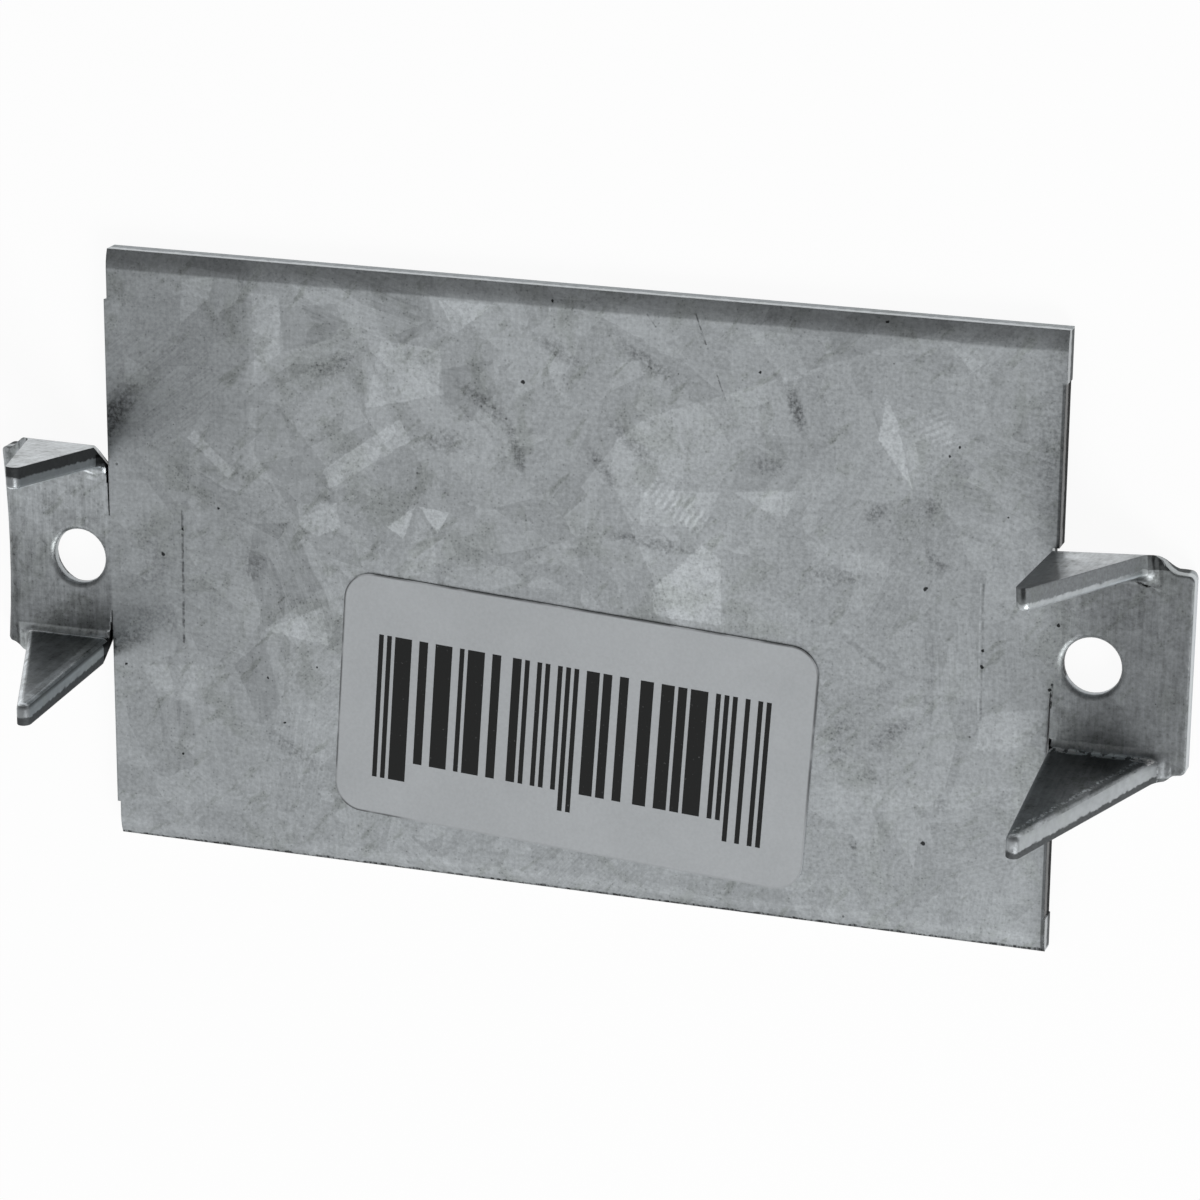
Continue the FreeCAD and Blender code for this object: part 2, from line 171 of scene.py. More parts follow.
# How much lighter, then a line's two ends, its half width and the softness of its sides
STREAKS = (
    (-0.50, (7.9, 18.3), (8.6, 16.4), 0.02, 0.05),
    (-0.48, (9.3, 14.6), (9.95, 12.9), 0.02, 0.05),
    (-0.34, (4.95, 17.9), (5.5, 17.2), 0.02, 0.05),
    (-0.16, (17.3, -0.6), (19.9, -2.3), 0.12, 0.15),
    (0.10, (17.4, -0.35), (20.0, -2.05), 0.10, 0.12),
    (-0.45, (-25.2, 2.8), (-25.28, -5.7), 0.04, 0.08),
    (0.12, (-24.3, 6.3), (-24.5, -1.5), 0.22, 0.25),
    (-0.30, (25.72, 3.5), (25.83, -4.8), 0.04, 0.10),
    (0.25, (25.62, 3.5), (25.73, -4.8), 0.05, 0.06),
    (-0.09, (22.6, 1.1), (22.7, -5.2), 0.2, 0.3),
    (-0.75, (30.06, -2.2), (30.0, -3.6), 0.05, 0.06),
    (-0.07, (22.35, 7.5), (22.99, -12.8), 0.12, 0.3),
)
# Crystals hatched with fine lines: how much lighter, middle, half sizes along and across, turn, pitch
HATCHES = (
    (0.22, (6.9, 6.35), (0.85, 2.2), 57.0, 0.42),
    (0.18, (22.7, 12.6), (0.9, 1.2), 24.0, 0.40),
)
# How much lighter, then a soft spot's middle, its two half sizes and its turn in degrees
SPOTS = (
    (-0.38, (14.15, 13.0), (0.55, 1.9), 20.0),
    (-0.12, (-27.4, -0.6), (1.3, 2.6), 8.0),
    # These two are painted reflections of the left prongs, dark spots on the plate beside them
    (-0.36, (-30.3, 7.9), (1.2, 3.8), -38.0),
    (-0.27, (-30.1, -6.2), (3.4, 1.0), 16.0),
    (-0.15, (29.6, 12.5), (1.6, 7.0), 0.0),
    (-0.22, (-3.2, 8.9), (0.5, 2.2), 20.0),
    (-0.20, (-5.3, 11.6), (2.6, 0.6), -35.0),
    (-0.18, (5.2, 14.9), (3.2, 0.6), -32.0),
    (-0.17, (4.2, 9.9), (2.5, 0.7), -40.0),
    (-0.16, (-7.8, 8.9), (2.4, 0.9), 0.0),
    (-0.22, (5.6, 3.9), (3.6, 0.5), -6.0),
    (-0.20, (12.6, 9.4), (1.5, 0.8), 0.0),
    (-0.22, (2.2, 8.3), (0.5, 1.9), 38.0),
    (-0.18, (-0.6, 15.2), (2.2, 0.6), -30.0),
    (-0.18, (16.8, 3.0), (2.6, 0.7), 0.0),
    (-0.16, (-15.2, 13.0), (2.0, 0.8), 30.0),
    (-0.16, (-13.0, -1.0), (2.0, 0.6), 35.0),
    (-0.18, (20.6, -6.2), (2.4, 0.7), 40.0),
    (-0.16, (-18.0, -12.0), (2.6, 0.7), -30.0),
    (-0.24, (19.2, 7.2), (1.0, 0.6), 30.0),
    (-0.13, (-27.6, -4.4), (2.8, 1.2), 10.0),
    (-0.15, (-20.5, -0.5), (0.8, 1.3), -20.0),
    (-0.18, (22.5, 7.9), (0.8, 0.7), -20.0),
    (-0.18, (22.9, 4.5), (1.1, 0.5), -35.0),
    (-0.14, (20.0, -3.4), (1.1, 0.5), 40.0),
    (-0.17, (17.5, -6.2), (1.0, 0.6), 30.0),
    (-0.17, (17.2, -8.0), (0.7, 0.9), 0.0),
    (-0.15, (19.3, -9.1), (0.9, 0.5), -30.0),
    (-0.15, (23.6, -10.5), (0.7, 1.0), 20.0),
    (-0.34, (18.32, -13.75), (0.35, 0.3), 0.0),
    (-0.12, (27.1, 2.0), (1.2, 0.5), -25.0),
    (0.90, (-31.6, 4.78), (0.75, 0.12), -15.0),
    (0.50, (-31.4, 4.42), (0.50, 0.20), -20.0),
    # These two paint a shade line and a highlight where the upper right prong's outer root bulges
    (-0.70, (35.3, 4.45), (0.80, 0.10), -12.0),
    (0.60, (35.9, 4.30), (0.50, 0.08), -12.0),
)
# Black pits: middle and radius
PITS = (
    ((22.25, 2.85), 0.15), ((11.93, 14.98), 0.10), ((-2.79, 13.12), 0.11), ((-26.57, -0.08), 0.12),
    ((-0.97, 18.23), 0.09), ((19.5, 18.64), 0.09), ((24.07, 11.59), 0.09), ((23.49, 11.05), 0.08),
    ((30.3, 1.47), 0.11), ((29.9, -2.5), 0.10), ((22.63, -13.07), 0.14), ((25.86, -0.58), 0.10),
    ((25.84, -1.57), 0.10), ((-22.76, 3.28), 0.08), ((-29.27, -7.58), 0.09), ((-19.64, -7.41), 0.07),
    ((-16.3, -6.38), 0.08), ((-18.52, -10.25), 0.08), ((-25.51, -13.16), 0.08), ((-25.2, 1.68), 0.09),
    ((27.09, 7.7), 0.07),
)

# The label's stripes, in mm from its middle: a field of even steps, some of them dark
STRIPE_STEPS = 95
STRIPE_FIELD = 25.2
STRIPE_START = -12.75
STRIPE_TOP = 4.0
STRIPE_FOOT = -4.05
LONG_STRIPE_FOOT = -5.35
STRIPE_SPREAD = 0.02
INK_THICKNESS = 0.006
# The steps at which the three pairs begin, and the bounds past or between which stripes are longer
LONG_PAIRS = (0, 46, 92)
LONG_LEFT = 10
LONG_RIGHT = 85
LONG_MIDDLE = (45, 49)

# The camera's axes, its place in mm, its sensor and its lens
CAMERA_RIGHT = Vector((0.9476, 0.0074, -0.3193))
CAMERA_UP = Vector((-0.1027, 0.9537, -0.2827))
CAMERA_BACK = Vector((0.3024, 0.3006, 0.9045))
CAMERA_PLACE = Vector((79.56, 76.94, 231.49 + SHEET))
CAMERA_SENSOR = 36.0
CAMERA_LENS = 127.4

# The floor's half width and its depth under the part, in metres
FLOOR_HALF = 1.5
FLOOR_DROP = 0.00002


def prong_plane(prong):
    """Outward normal of a prong's sheet, and how far along it the prong's inner face lies, in mm."""
    side_x, side_y, bend, inset, base, splay, skew = prong
    turn = math.radians(90 - splay)
    spin = Matrix.Rotation(math.radians(skew), 3, "Z")
    pivot = Vector((base / 2, 0, 0))
    centre = Vector((PLATE_END + inset, bend, 0)) + pivot
    centre += spin @ (Vector((0, 0, SHEET + BEND_RADIUS)) - pivot)
    across = spin @ Vector((0, math.sin(turn), -math.cos(turn)))
    mirror = Vector((side_x, side_y, 1))
    normal = Vector(a * m for a, m in zip(across, mirror))
    return normal, centre.dot(across) + BEND_RADIUS


PRONG_NORMALS = {name: prong_plane(prong)[0] for name, prong in PRONGS.items()}
PRONG_FACES = {name: prong_plane(prong)[1] for name, prong in PRONGS.items()}


class Graph:
    """Short ways to add and join shader nodes."""

    def __init__(self, tree):
        self.tree = tree
        self.tree.nodes.clear()

    def node(self, kind, **settings):
        made = self.tree.nodes.new(kind)
        for key, value in settings.items():
            setattr(made, key, value)
        return made

    def put(self, socket, value):
        if isinstance(value, bpy.types.NodeSocket):
            self.tree.links.new(value, socket)
        else:
            socket.default_value = value

    def math(self, operation, a, b=0.0, c=0.0):
        made = self.node("ShaderNodeMath", operation=operation)
        for socket, value in zip(made.inputs, (a, b, c)):
            self.put(socket, value)
        return made.outputs[0]

    def add(self, a, b):
        return self.math("ADD", a, b)

    def sub(self, a, b):
        return self.math("SUBTRACT", a, b)

    def mul(self, a, b):
        return self.math("MULTIPLY", a, b)

    def size(self, value):
        return self.math("ABSOLUTE", value)

    def centred(self, value, gain):
        """Value from 0 to 1, moved to lie about 0 and scaled."""
        return self.mul(self.sub(value, 0.5), gain)

    def vector(self, operation, a, b=(0, 0, 0), scale=1.0):
        made = self.node("ShaderNodeVectorMath", operation=operation)
        self.put(made.inputs[0], a)
        if operation == "SCALE":
            self.put(made.inputs["Scale"], scale)
        else:
            self.put(made.inputs[1], b)
        single = operation in ("DOT_PRODUCT", "LENGTH", "DISTANCE")
        return made.outputs["Value" if single else "Vector"]

    def split(self, value):
        made = self.node("ShaderNodeSeparateXYZ")
        self.put(made.inputs[0], value)
        return made.outputs

    def join(self, x, y, z):
        made = self.node("ShaderNodeCombineXYZ")
        for socket, value in zip(made.inputs, (x, y, z)):
            self.put(socket, value)
        return made.outputs[0]

    def stretch(self, point, scale_x, scale_y, scale_z):
        x, y, z = self.split(point)
        return self.join(self.mul(x, scale_x), self.mul(y, scale_y), self.mul(z, scale_z))

    def step(self, value, low, high, to_low=0.0, to_high=1.0):
        """Smooth step of value from low to high."""
        made = self.node("ShaderNodeMapRange", interpolation_type="SMOOTHSTEP")
        for socket, item in zip(made.inputs, (value, low, high, to_low, to_high)):
            self.put(socket, item)
        return made.outputs[0]

    def band(self, value, low, low_full, high_full, high):
        """1 from low_full to high_full, falling to 0 at low and at high."""
        return self.mul(self.step(value, low, low_full), self.step(value, high_full, high, 1.0, 0.0))

    def mix(self, factor, a, b):
        made = self.node("ShaderNodeMix", data_type="FLOAT")
        for socket, value in zip((made.inputs[0], made.inputs[2], made.inputs[3]), (factor, a, b)):
            self.put(socket, value)
        return made.outputs[0]

    def mix_vector(self, factor, a, b):
        made = self.node("ShaderNodeMix", data_type="VECTOR")
        for socket, value in zip((made.inputs[0], made.inputs[4], made.inputs[5]), (factor, a, b)):
            self.put(socket, value)
        return made.outputs[1]

    def noise(self, vector, scale, detail=2.0, roughness=0.5, distortion=0.0):
        """The noise's level and its colour."""
        made = self.node("ShaderNodeTexNoise")
        self.put(made.inputs["Vector"], vector)
        made.inputs["Scale"].default_value = scale
        made.inputs["Detail"].default_value = detail
        made.inputs["Roughness"].default_value = roughness
        made.inputs["Distortion"].default_value = distortion
        return made.outputs["Fac"], made.outputs["Color"]

    def cells(self, vector, scale):
        """The distance to the middle of a cell, and the cell's colour."""
        made = self.node("ShaderNodeTexVoronoi", feature="F1")
        self.put(made.inputs["Vector"], vector)
        made.inputs["Scale"].default_value = scale
        return made.outputs["Distance"], made.outputs["Color"]

    def millimetres(self):
        made = self.node("ShaderNodeTexCoord")
        return self.vector("SCALE", made.outputs["Object"], scale=1000.0)

    def finish(self, shader):
        out = self.node("ShaderNodeOutputMaterial")
        self.tree.links.new(shader, out.inputs["Surface"])


def new_material(name):
    material = bpy.data.materials.new(name)
    material.use_nodes = True
    return material, Graph(material.node_tree)


class Sheet:
    """The steel's graph, with the places, masks and textures that its parts share."""

    def __init__(self, g):
        self.g = g
        self.point = g.millimetres()
        self.x, self.y, self.z = g.split(self.point)
        self.normal = g.node("ShaderNodeNewGeometry").outputs["True Normal"]
        self.right = g.math("GREATER_THAN", self.x, 0.0)
        self.upper = g.math("GREATER_THAN", self.y, MIDLINE_Y)
        self.standing = g.math("GREATER_THAN", self.z, PRONG_START)
        self.ragged, self.ragged_colour = g.noise(self.point, 2.2, 3.0, 0.6)
        self.grain, _ = g.noise(self.point, 4.2, 3.0, 0.75)
        self.mottle, _ = g.noise(self.point, 1.4, 4.0, 0.66)
        self.drawn, _ = g.noise(g.stretch(self.point, 5.0, 0.4, 0.4), 1.0, 2.0, 0.6)
        self.rolled, _ = g.noise(g.stretch(self.point, 0.4, 5.0, 0.4), 1.0, 2.0, 0.6)
        self.across = self.by_prong(PRONG_NORMALS, g.mix_vector)
        self.toward = g.vector("DOT_PRODUCT", self.normal, self.across)

    def by_prong(self, rows, mixer):
        """The row of the prong that stands nearest."""
        left = mixer(self.upper, rows["lower_left"], rows["upper_left"])
        right = mixer(self.upper, rows["lower_right"], rows["upper_right"])
        return mixer(self.right, left, right)

    def tone_by_prong(self, flat_tone, rows):
        """The row of the prong on the prongs, and one value on the flat sheet."""
        return self.g.mix(self.standing, flat_tone, self.by_prong(rows, self.g.mix))


def zinc_crystals(sheet, warped):
    """Brightness of the crystals about 0, and the level of each."""
    g = sheet.g
    _, patch = g.cells(warped, 0.17)
    turn, hatch, level = g.split(patch)
    angle = g.mul(turn, 2 * math.pi)
    cosine, sine = g.math("COSINE", angle), g.math("SINE", angle)
    along = g.add(g.mul(sheet.x, cosine), g.mul(sheet.y, sine))
    across = g.sub(g.mul(sheet.y, cosine), g.mul(sheet.x, sine))
    seed = g.mul(level, 50.0)
    deep = g.add(seed, g.mul(sheet.z, 0.4))
    _, shards = g.cells(g.join(g.mul(along, 0.75), g.mul(across, 0.24), deep), 1.0)
    shard = g.split(shards)[0]
    lines, _ = g.noise(g.join(g.mul(along, 8.0), g.mul(across, 0.3), seed), 1.0, 2.0, 0.6)
    lined = g.mul(g.step(hatch, 0.55, 0.9), g.centred(lines, 0.45))
    total = g.add(g.centred(level, 0.08), g.centred(shard, 0.21))
    return g.add(total, lined), level


def zinc_dust(sheet, warped, shift):
    """Masks of the dusty clouds and of the specks in them."""
    g = sheet.g
    cloud, _ = g.noise(warped, 0.28, 5.0, 0.66, 0.6)
    clouds = g.mul(g.step(cloud, 0.50, 0.66), 0.8)
    slant = g.join(g.mul(g.add(sheet.x, sheet.y), 0.25), g.mul(g.sub(sheet.x, sheet.y), 0.75), sheet.z)
    strokes, _ = g.noise(g.vector("ADD", slant, g.vector("SCALE", shift, scale=0.9)), 1.0, 4.0, 0.62)
    dusty = g.math("MAXIMUM", clouds, g.step(strokes, 0.57, 0.69))
    distance, colour = g.cells(sheet.point, 4.6)
    chance = g.split(colour)[0]
    dense = g.add(0.10, g.mul(dusty, 0.65))
    speck = g.mul(g.math("LESS_THAN", chance, dense), g.step(distance, 0.18, 0.38, 1.0, 0.0))
    return dusty, speck


def spangle(sheet):
    """Brightness of the zinc about 0, the level of each crystal, and the mask of the dusty clouds."""
    g = sheet.g
    _, warp = g.noise(sheet.point, 0.35, 3.0, 0.55)
    shift = g.vector("SUBTRACT", warp, (0.5, 0.5, 0.5))
    warped = g.vector("ADD", sheet.point, g.vector("SCALE", shift, scale=1.5))
    total, level = zinc_crystals(sheet, warped)
    dusty, speck = zinc_dust(sheet, warped, shift)
    total = g.sub(total, g.mul(dusty, 0.17))
    total = g.sub(total, g.mul(speck, 0.26))
    total = g.add(total, g.centred(sheet.grain, 0.95))
    threads = g.add(g.centred(sheet.drawn, 0.24), g.centred(sheet.rolled, 0.24))
    return g.add(g.add(total, threads), 0.10), level, dusty


def lay(g, total, level, mask):
    """The total with a mark of this level added where its mask is 1."""
    return g.math("MULTIPLY_ADD", mask, level, total)


def off_line(g, point, side, first):
    """How far a point, whose third value is 1, lies from first along side."""
    return g.vector("DOT_PRODUCT", point, (side.x, side.y, -side.dot(first)))


def turned(g, point, middle, turn, unit_a=1.0, unit_b=1.0):
    """A point's places along and across a turned direction from middle, each in its own unit."""
    turn = math.radians(turn)
    middle = Vector(middle)
    a = off_line(g, point, Vector((math.cos(turn), math.sin(turn))) / unit_a, middle)
    b = off_line(g, point, Vector((-math.sin(turn), math.cos(turn))) / unit_b, middle)
    return a, b


def crystal_faces(g, point):
    """Brightness of the plate's larger crystals, about 0."""
    total = 0.0
    for level, corners in FACETS:
        points = [Vector(corner) for corner in corners]
        middle = sum(points, Vector((0.0, 0.0))) / len(points)
        out = -100.0
        for first, second in zip(points, points[1:] + points[:1]):
            side = (second - first).normalized()
            normal = Vector((side.y, -side.x))
            if normal.dot(middle - first) > 0:
                normal = -normal
            out = g.math("MAXIMUM", out, off_line(g, point, normal, first))
        total = lay(g, total, FACET_GAIN * level, g.step(out, -0.06, 0.04, 1.0, 0.0))
    fade = 0.2
    for level, middle, (half_a, half_b), turn, pitch in HATCHES:
        a, b = turned(g, point, middle, turn)
        near = g.mul(g.step(g.size(a), half_a - fade, half_a, 1.0, 0.0),
                     g.step(g.size(b), half_b - fade, half_b, 1.0, 0.0))
        lines = g.step(g.math("PINGPONG", b, pitch / 2), 0.0, pitch / 2, -0.6, 1.0)
        total = lay(g, total, level, g.mul(near, lines))
    return total


def scratches(g, point):
    """Brightness of the straight scratches and lines, about 0."""
    total = 0.0
    for level, first, second, half, soft in STREAKS:
        first, second = Vector(first), Vector(second)
        line = second - first
        side = line.normalized()
        along = off_line(g, point, side, first)
        held = g.math("MINIMUM", g.math("MAXIMUM", along, 0.0), line.length)
        beside = off_line(g, point, Vector((side.y, -side.x)), first)
        away = g.vector("LENGTH", g.join(beside, g.sub(along, held), 0.0))
        total = lay(g, total, level, g.step(away, half, half + soft, 1.0, 0.0))
    return total


def soft_spots_and_painted_light(g, point):
    """Brightness of the soft spots, a few of them painted reflections, shade and highlight, about 0."""
    total = 0.0
    for level, middle, (half_a, half_b), turn in SPOTS:
        a, b = turned(g, point, middle, turn, half_a, half_b)
        away = g.vector("LENGTH", g.join(a, b, 0.0))
        total = lay(g, total, level, g.step(away, 0.25, 1.1, 1.0, 0.0))
    return total


def black_pits(g, point):
    """Mask of the larger pits."""
    total = 0.0
    for middle, radius in PITS:
        away = g.vector("DISTANCE", point, (*middle, 1.0))
        total = g.math("MAXIMUM", total, g.step(away, radius * 0.8, radius * 1.2, 1.0, 0.0))
    return total


def front_marks(sheet):
    """Brightness of the marks on the plate's front, about 0, and a mask of its black pits."""
    g = sheet.g
    stray = g.vector("SCALE", g.vector("SUBTRACT", sheet.ragged_colour, (0.5, 0.5, 0.5)), scale=0.35)
    stray_x, stray_y, _ = g.split(stray)
    wavy = g.join(g.add(sheet.x, stray_x), g.add(sheet.y, stray_y), 1.0)
    straight = g.join(sheet.x, sheet.y, 1.0)
    patchy = g.step(sheet.grain, 0.3, 0.6, 0.7, 1.15)
    gaps = g.step(sheet.ragged, 0.40, 0.56, 0.25, 1.25)
    grainy = g.step(sheet.grain, 0.66, 0.36, 0.45, 1.2)
    total = g.add(g.mul(crystal_faces(g, wavy), patchy), g.mul(scratches(g, straight), gaps))
    total = g.add(total, g.mul(soft_spots_and_painted_light(g, wavy), g.mul(grainy, SPOT_GAIN)))
    front = g.band(sheet.z, 0.7, 0.9, SHEET + 0.25, SHEET + 0.55)
    return g.mul(total, front), g.mul(black_pits(g, wavy), front)


def fold_marks(sheet):
    """Brightness of the lighter band and the flakes along the lower prongs' folds, about 0, less the
    painted shade on the left tab's rolled end.
    """
    g = sheet.g
    ridge = g.band(sheet.z, SHEET + 0.005, SHEET + 0.03, SHEET + 0.28, SHEET + 0.42)
    ridge = g.mul(ridge, g.step(sheet.ragged, 0.30, 0.55, 0.35, 1.0))
    line = g.band(sheet.z, SHEET + 0.20, SHEET + 0.35, SHEET + 0.60, SHEET + 0.85)
    flakes = g.mul(line, g.step(sheet.ragged, 0.44, 0.52))
    fold = g.mix(sheet.right, g.mul(ridge, 1.3), g.mul(flakes, 5.0))
    lower = g.step(sheet.y, -5.2, -5.4)
    fold = g.mul(fold, g.mul(lower, g.step(g.size(sheet.x), PLATE_END - 0.15, PLATE_END + 0.05)))
    # Painted shade: the left tab's rolled end is darker
    end = g.step(sheet.x, LEFT_TAB_END, LEFT_TAB_END - 0.4)
    end = g.mul(end, g.step(sheet.z, SHEET + 0.05, SHEET + 0.2, 1.0, 0.0))
    return g.sub(fold, g.mul(end, 0.22))


def flat_edge_tone(sheet, tone):
    """The cut edges' tone, with a painted highlight on the long sides, painted shade on the right end and
    in the slits, and lighter at the right tab's end.
    """
    g = sheet.g
    flat = g.sub(1.0, sheet.standing)
    out_x, out_y = g.size(sheet.x), g.size(sheet.y)
    # Painted highlight: the long sides' edge faces are painted light
    long_edge_highlight = g.mul(flat, g.step(out_y, PLATE_EDGE - 0.15, PLATE_EDGE - 0.05))
    tone = g.mix(long_edge_highlight, tone, g.add(0.9, g.mul(sheet.ragged, 0.7)))
    # Painted shade: the right end's face is painted nearly black, save at its corners
    end_face_shade = g.band(sheet.x, PLATE_END - 0.15, PLATE_END - 0.05, PLATE_END + 0.35, PLATE_END + 0.45)
    end_face_shade = g.mul(flat, end_face_shade)
    corner = g.math("MAXIMUM", g.step(sheet.y, 15.8, 16.0), g.step(sheet.y, -16.8, -17.0))
    tone = g.mix(end_face_shade, tone, g.mul(tone, g.mix(corner, 0.06, 0.95)))
    tab_end = g.mul(flat, g.step(sheet.x, RIGHT_TAB_END, RIGHT_TAB_END + 0.2))
    tone = g.mix(tab_end, tone, 1.35)
    # Painted shade in the narrow slits
    slit_shade = g.band(out_x, PLATE_END - 0.15, PLATE_END - 0.05, PLATE_END + 0.60, PLATE_END + 0.70)
    slit_shade = g.mul(slit_shade, g.math("LESS_THAN", g.size(g.sub(sheet.y, TAB_Y)), 7.0))
    slit_shade = g.mul(slit_shade, g.math("LESS_THAN", sheet.z, 2.2))
    return g.mul(tone, g.sub(1.0, g.mul(slit_shade, 0.9)))


def cut_edges(sheet):
    """Mask of the cut edges, mask of the rubbed band on them, and their tone."""
    g = sheet.g
    steep = 0.55
    facing = g.size(sheet.toward)
    upright = g.size(g.split(sheet.normal)[2])
    edge = g.mix(sheet.standing, g.math("LESS_THAN", upright, steep), g.math("LESS_THAN", facing, steep))
    out = g.sub(g.vector("DOT_PRODUCT", sheet.point, sheet.across), sheet.by_prong(PRONG_FACES, g.mix))
    depth = g.mix(sheet.standing, g.mul(sheet.z, 1 / SHEET), g.sub(1.0, g.mul(out, 1 / SHEET)))
    line = g.add(depth, g.centred(sheet.ragged, 0.30))
    burnish = g.step(g.sub(line, sheet.tone_by_prong(FLAT_SHEAR_LINE, SHEAR_LINE)), -0.05, 0.05)
    # On the prongs these tones carry painted light and shade as well as the bands' own tone
    broken = sheet.tone_by_prong(FLAT_BROKEN_TONE, BROKEN_TONE_AND_PAINTED_LIGHT)
    broken = g.mul(broken, g.add(0.55, g.mul(sheet.grain, 0.9)))
    rubbed = sheet.tone_by_prong(FLAT_RUBBED_TONE, RUBBED_TONE_AND_PAINTED_LIGHT)
    rubbed = g.mul(rubbed, g.add(0.8, g.mul(sheet.ragged, 0.4)))
    return edge, burnish, flat_edge_tone(sheet, g.mix(burnish, broken, rubbed))


def prong_painted_light(sheet, inner, outer):
    """Brightness of the painted highlights and reflections on single prongs, about 0."""
    g = sheet.g
    lower = g.sub(1.0, sheet.upper)
    upper_right = g.mul(sheet.right, sheet.upper)
    lower_right = g.mul(sheet.right, lower)
    lower_left = g.mul(g.sub(1.0, sheet.right), lower)
    # Painted reflection: the upper right prong's outer face is darker on the side over the plate and
    # lighter beyond a line
    lit = g.step(g.sub(sheet.x, g.add(LIT_X, g.mul(sheet.z, LIT_LEAN))), -0.12, 0.12, -0.10, 1.0)
    total = g.mul(g.mul(outer, upper_right), lit)
    # Painted light: the lower right prong's inner face is lighter near its roll, with a speckled painted
    # highlight line along it
    inward = g.sub(g.sub(HIGHLIGHT_LINE_X, g.mul(g.sub(sheet.z, HIGHLIGHT_LINE_Z), HIGHLIGHT_LINE_LEAN)), sheet.x)
    inward = g.add(inward, g.centred(sheet.ragged, 0.5))
    soft = g.step(inward, 0.0, 1.5, 1.0, 0.0)
    soft = g.mul(g.mul(soft, soft), g.step(sheet.z, 6.5, 2.5, 0.45, 1.1))
    glint = g.mul(g.band(inward, 0.10, 0.20, 0.36, 0.50), g.step(sheet.grain, 0.48, 0.56))
    mark_level = g.add(soft, g.mul(glint, 1.8))
    total = g.add(total, g.mul(g.mul(inner, lower_right), mark_level))
    # Painted highlight along the lower left prong's rounded edge, on its inner face
    inside = g.add(g.sub(LOWER_LEFT_HIGHLIGHT_X, sheet.x), g.centred(sheet.ragged, 0.3))
    edge_highlight = g.mul(g.band(inside, 0.25, 0.42, 0.70, 0.95), 0.9)
    return g.add(total, g.mul(g.mul(inner, lower_left), edge_highlight))


def prong_faces(sheet):
    """Brightness of the prongs' two faces and of the rolls beside them, about 0: painted light and shade,
    set face by face and prong by prong.
    """
    g = sheet.g
    inner = g.mul(sheet.standing, g.step(sheet.toward, -0.3, -0.6))
    outer = g.mul(sheet.standing, g.step(sheet.toward, 0.3, 0.6))
    turning = g.mul(sheet.standing, g.band(g.size(sheet.toward), 0.58, 0.64, 0.93, 0.97))
    # Painted light: the inner faces grow lighter toward their top, and each face and roll is painted
    # lighter or darker by prong
    high = g.mul(g.step(sheet.z, 3.0, 12.0), 0.5)
    total = g.mul(inner, g.add(sheet.by_prong(INNER_PAINTED_LIGHT, g.mix), high))
    total = g.add(total, g.mul(outer, sheet.by_prong(OUTER_PAINTED_LIGHT, g.mix)))
    total = g.add(total, g.mul(turning, sheet.by_prong(ROLL_HIGHLIGHT, g.mix)))
    return g.add(total, prong_painted_light(sheet, inner, outer))


def plate_shade(sheet, tabs, level):
    """Factor by which the sheet is darker at its ends, tabs and rolled edges, and lighter at its top; all
    but the tabs' darkening is painted light and shade.
    """
    g = sheet.g
    out_x = g.size(sheet.x)
    # Painted shade: the left end is darker, with a further step past an X of -20.6 in its upper half
    left_end = g.mul(g.step(sheet.x, -18.5, -23.0), g.step(sheet.y, -14.0, 6.0, 0.07, 0.10))
    left_end = g.add(left_end, g.mul(g.step(sheet.x, -20.4, -20.8), g.step(sheet.y, 2.0, 9.0, 0.0, 0.09)))
    # Painted light and shade: the right half a little darker and the top middle a little lighter
    shade = g.sub(g.step(sheet.x, 2.0, 18.0, 1.0, 0.87), left_end)
    top_middle = g.mul(g.step(sheet.y, 6.0, 13.0), g.step(out_x, 20.0, 9.0, 0.0, 0.07))
    shade = g.mul(shade, g.add(1.0, top_middle))
    # The tabs are darker: the left one toward its bottom, and lighter at its top, the right one toward its
    # end
    left_tab_darkening = g.step(sheet.y, 5.0, -6.0, -0.15, 0.42)
    right_tab_darkening = g.step(sheet.x, 29.0, 33.5, 0.18, 0.46)
    tab_darkening = g.mix(sheet.right, left_tab_darkening, right_tab_darkening)
    tab = g.mul(g.mix(sheet.right, tabs, g.step(sheet.x, 28.6, 30.6)), tab_darkening)
    shade = g.mul(shade, g.sub(1.0, tab))
    # Painted shade on the rolled band along the top edge
    top_roll_shade = g.mul(g.step(g.add(sheet.y, g.mul(level, 0.1)), 17.80, 17.98), g.step(sheet.z, 0.6, 0.9))
    top_roll_shade = g.mul(top_roll_shade, g.step(sheet.y, 18.0, 18.9, 0.36, 0.16))
    shade = g.mul(shade, g.sub(1.0, top_roll_shade))
    # Painted shadow: an uneven dark line under the bottom edge's roll, and the bottom roll painted darker
    wavy_bottom_y = g.add(sheet.y, g.centred(sheet.mottle, 0.45))
    bottom_edge_shadow = g.mul(g.step(wavy_bottom_y, -18.86, -18.96), g.step(sheet.drawn, 0.42, 0.58, 0.35, 0.9))
    shade = g.mul(shade, g.sub(1.0, bottom_edge_shadow))
    shade = g.mul(shade, g.step(sheet.y, -18.0, -18.9, 1.0, 0.74))
    # Painted shade along the right end's front edge, off the tab
    off_tab = g.math("GREATER_THAN", g.size(g.sub(sheet.y, TAB_Y)), 6.3)
    end_edge_shade = g.mul(g.mul(g.step(sheet.x, 29.92, 30.02), g.step(sheet.y, 16.0, 15.8)), off_tab)
    end_edge_shade = g.mul(end_edge_shade, g.step(sheet.z, SHEET + 0.2, SHEET + 0.4, 1.0, 0.0))
    return g.mul(shade, g.sub(1.0, g.mul(end_edge_shade, 0.6)))


